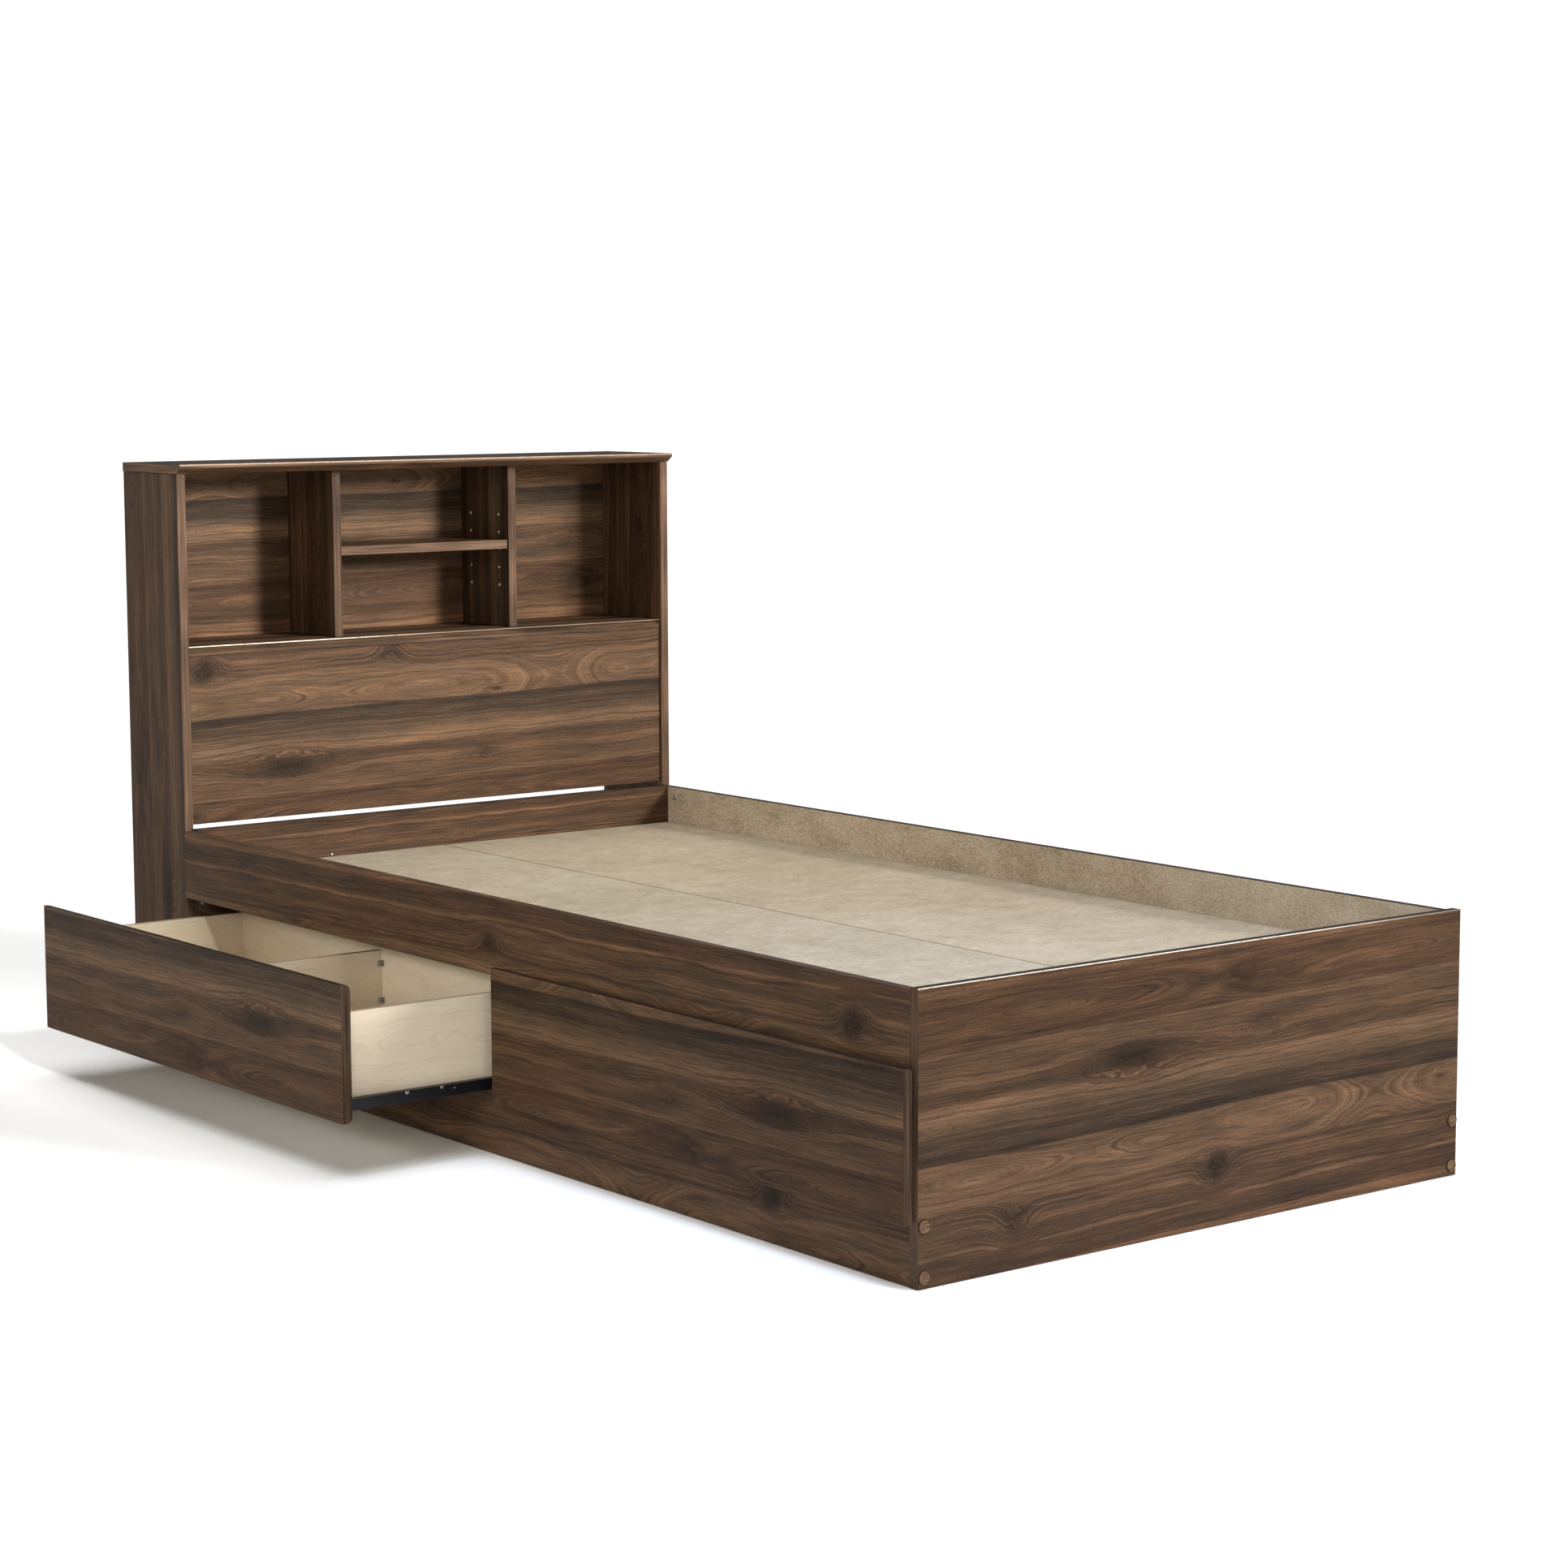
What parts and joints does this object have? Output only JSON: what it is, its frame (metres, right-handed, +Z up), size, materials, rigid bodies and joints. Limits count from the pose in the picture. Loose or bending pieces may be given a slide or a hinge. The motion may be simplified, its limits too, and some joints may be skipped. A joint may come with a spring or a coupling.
{
  "type": "platform bed",
  "caption": "Twin platform bed with a bookcase headboard, an adjustable shelf on pins, and full-overlay storage drawers on roller slides under its left side.",
  "frame": {"origin": "on the floor, at the middle of the bed case, under the centre panel", "axes": "+Z up, +Y from the foot end to the headboard, +X to the right of someone who lies on the bed on their back; the drawers open to -X"},
  "size_m": [1.292, 2.1368, 1.012],
  "materials": {
    "walnut": "satin walnut-look laminate on particleboard",
    "walnut_top": "darker satin walnut-look laminate",
    "maple": "light maple-look melamine",
    "fibreboard": "bare pressed fibreboard",
    "pine": "planed softwood",
    "cover_cap": "wood-look printed cap",
    "black_steel": "black baked paint",
    "nylon": "moulded nylon",
    "zinc_steel": "bright zinc plating"
  },
  "bodies": {
    "bed": {"centre_panel": "walnut", "cover_cap_left_lower": "cover_cap", "cover_cap_left_upper": "cover_cap", "cover_cap_right_lower": "cover_cap", "cover_cap_right_upper": "cover_cap", "drawer_bay_partition": "walnut", "foot_end_drawer_foot_side_case_member": "black_steel", "foot_end_drawer_head_side_case_member": "black_steel", "foot_ledger": "pine", "foot_panel": "walnut", "head_end_drawer_foot_side_case_member": "black_steel", "head_end_drawer_head_side_case_member": "black_steel", "head_ledger": "pine", "head_panel": "walnut", "headboard_back_panel": "walnut", "headboard_deck": "walnut", "headboard_front_panel": "walnut", "headboard_left_divider": "walnut", "headboard_left_side": "walnut", "headboard_right_divider": "walnut", "headboard_right_side": "walnut", "headboard_stretcher": "walnut", "headboard_top": "walnut_top", "left_ledger": "pine", "left_lower_rail": "walnut", "left_upper_rail": "walnut", "platform_left_board": "fibreboard", "platform_right_board": "fibreboard", "right_cross_brace": "walnut", "right_ledger": "pine", "right_side_panel": "walnut", "shelf_pin_left_front": "zinc_steel", "shelf_pin_left_rear": "zinc_steel", "shelf_pin_right_front": "zinc_steel", "shelf_pin_right_rear": "zinc_steel"},
    "head_end_drawer": {"head_end_drawer_back": "maple", "head_end_drawer_bottom": "maple", "head_end_drawer_divider": "maple", "head_end_drawer_foot_side": "maple", "head_end_drawer_foot_side_drawer_member": "black_steel", "head_end_drawer_front": "walnut", "head_end_drawer_head_side": "maple", "head_end_drawer_head_side_drawer_member": "black_steel"},
    "foot_end_drawer": {"foot_end_drawer_back": "maple", "foot_end_drawer_bottom": "maple", "foot_end_drawer_divider": "maple", "foot_end_drawer_foot_side": "maple", "foot_end_drawer_foot_side_drawer_member": "black_steel", "foot_end_drawer_front": "walnut", "foot_end_drawer_head_side": "maple", "foot_end_drawer_head_side_drawer_member": "black_steel"},
    "shelf": {"adjustable_shelf": "walnut"},
    "foot_end_drawer_foot_side_case_roller": {"foot_end_drawer_foot_side_case_roller": "nylon"},
    "foot_end_drawer_foot_side_drawer_roller": {"foot_end_drawer_foot_side_drawer_roller": "nylon"},
    "foot_end_drawer_head_side_case_roller": {"foot_end_drawer_head_side_case_roller": "nylon"},
    "foot_end_drawer_head_side_drawer_roller": {"foot_end_drawer_head_side_drawer_roller": "nylon"},
    "head_end_drawer_foot_side_case_roller": {"head_end_drawer_foot_side_case_roller": "nylon"},
    "head_end_drawer_foot_side_drawer_roller": {"head_end_drawer_foot_side_drawer_roller": "nylon"},
    "head_end_drawer_head_side_case_roller": {"head_end_drawer_head_side_case_roller": "nylon"},
    "head_end_drawer_head_side_drawer_roller": {"head_end_drawer_head_side_drawer_roller": "nylon"}
  },
  "joints": [
    {"name": "head_end_drawer_slide", "type": "slide", "parent": "bed", "child": "head_end_drawer", "axis": [-1, 0, 0], "range_m": [-0.25, 0]},
    {"name": "foot_end_drawer_slide", "type": "slide", "parent": "bed", "child": "foot_end_drawer", "axis": [-1, 0, 0], "range_m": [0, 0.25]},
    {"name": "shelf_lift", "type": "slide", "parent": "bed", "child": "shelf", "axis": [0, 0, 1], "range_m": [0, 0.12]},
    {"name": "foot_end_drawer_foot_side_case_roller_spin", "type": "hinge", "parent": "bed", "child": "foot_end_drawer_foot_side_case_roller", "pos_m": [-0.4805, -0.9501, 0.109], "axis": [0, 1, 0], "continuous": true},
    {"name": "foot_end_drawer_foot_side_drawer_roller_spin", "type": "hinge", "parent": "foot_end_drawer", "child": "foot_end_drawer_foot_side_drawer_roller", "pos_m": [-0.1792, -0.9501, 0.1122], "axis": [0, 1, 0], "continuous": true},
    {"name": "foot_end_drawer_head_side_case_roller_spin", "type": "hinge", "parent": "bed", "child": "foot_end_drawer_head_side_case_roller", "pos_m": [-0.4805, -0.0134, 0.109], "axis": [0, 1, 0], "continuous": true},
    {"name": "foot_end_drawer_head_side_drawer_roller_spin", "type": "hinge", "parent": "foot_end_drawer", "child": "foot_end_drawer_head_side_drawer_roller", "pos_m": [-0.1792, -0.0134, 0.1122], "axis": [0, 1, 0], "continuous": true},
    {"name": "head_end_drawer_foot_side_case_roller_spin", "type": "hinge", "parent": "bed", "child": "head_end_drawer_foot_side_case_roller", "pos_m": [-0.4805, 0.0134, 0.109], "axis": [0, 1, 0], "continuous": true},
    {"name": "head_end_drawer_foot_side_drawer_roller_spin", "type": "hinge", "parent": "head_end_drawer", "child": "head_end_drawer_foot_side_drawer_roller", "pos_m": [-0.4292, 0.0134, 0.1122], "axis": [0, 1, 0], "continuous": true},
    {"name": "head_end_drawer_head_side_case_roller_spin", "type": "hinge", "parent": "bed", "child": "head_end_drawer_head_side_case_roller", "pos_m": [-0.4805, 0.9501, 0.109], "axis": [0, 1, 0], "continuous": true},
    {"name": "head_end_drawer_head_side_drawer_roller_spin", "type": "hinge", "parent": "head_end_drawer", "child": "head_end_drawer_head_side_drawer_roller", "pos_m": [-0.4292, 0.9501, 0.1122], "axis": [0, 1, 0], "continuous": true}
  ],
  "couplings": [
    {"joint": "foot_end_drawer_foot_side_case_roller_spin", "follows": "foot_end_drawer_slide", "rad_per_m": -117.65},
    {"joint": "foot_end_drawer_foot_side_drawer_roller_spin", "follows": "foot_end_drawer_slide", "rad_per_m": -81.967},
    {"joint": "foot_end_drawer_head_side_case_roller_spin", "follows": "foot_end_drawer_slide", "rad_per_m": -117.65},
    {"joint": "foot_end_drawer_head_side_drawer_roller_spin", "follows": "foot_end_drawer_slide", "rad_per_m": -81.967},
    {"joint": "head_end_drawer_foot_side_case_roller_spin", "follows": "head_end_drawer_slide", "rad_per_m": -117.65},
    {"joint": "head_end_drawer_foot_side_drawer_roller_spin", "follows": "head_end_drawer_slide", "rad_per_m": -81.967},
    {"joint": "head_end_drawer_head_side_case_roller_spin", "follows": "head_end_drawer_slide", "rad_per_m": -117.65},
    {"joint": "head_end_drawer_head_side_drawer_roller_spin", "follows": "head_end_drawer_slide", "rad_per_m": -81.967}
  ]
}
